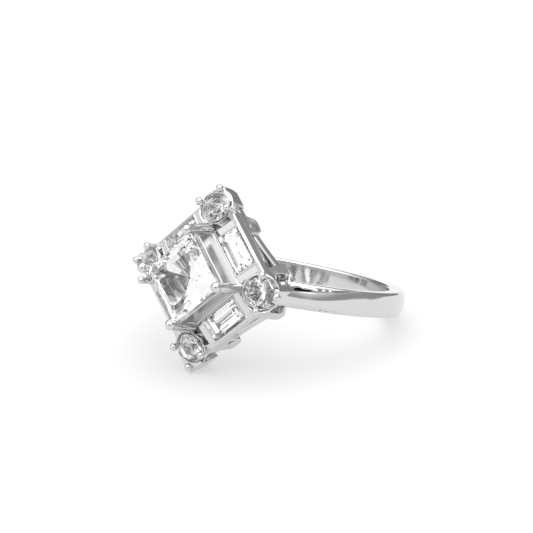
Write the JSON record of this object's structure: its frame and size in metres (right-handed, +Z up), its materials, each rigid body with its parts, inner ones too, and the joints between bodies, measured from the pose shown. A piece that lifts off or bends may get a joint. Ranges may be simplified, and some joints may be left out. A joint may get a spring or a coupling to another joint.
{
  "type": "ring",
  "caption": "Finger ring in white metal: a raised square step-cut stone in claws, baguettes along its sides and round stones at its corners, lying on its side.",
  "frame": {"origin": "the point of the surface the ring lies on that is below the middle of its bounding box", "axes": "+Z up from that surface; -Y towards the side the stones face; +X to the right shoulder when the stones are looked at"},
  "size_m": [0.0198, 0.0247, 0.0143],
  "materials": {
    "metal": "polished",
    "stone": "clear, faceted"
  },
  "bodies": {
    "root": {"setting": "metal", "centre_stone": "stone", "round_stone_top": "stone", "round_stone_right": "stone", "round_stone_bottom": "stone", "round_stone_left": "stone", "baguette_top_right": "stone", "baguette_bottom_right": "stone", "baguette_bottom_left": "stone", "baguette_top_left": "stone"}
  },
  "joints": []
}
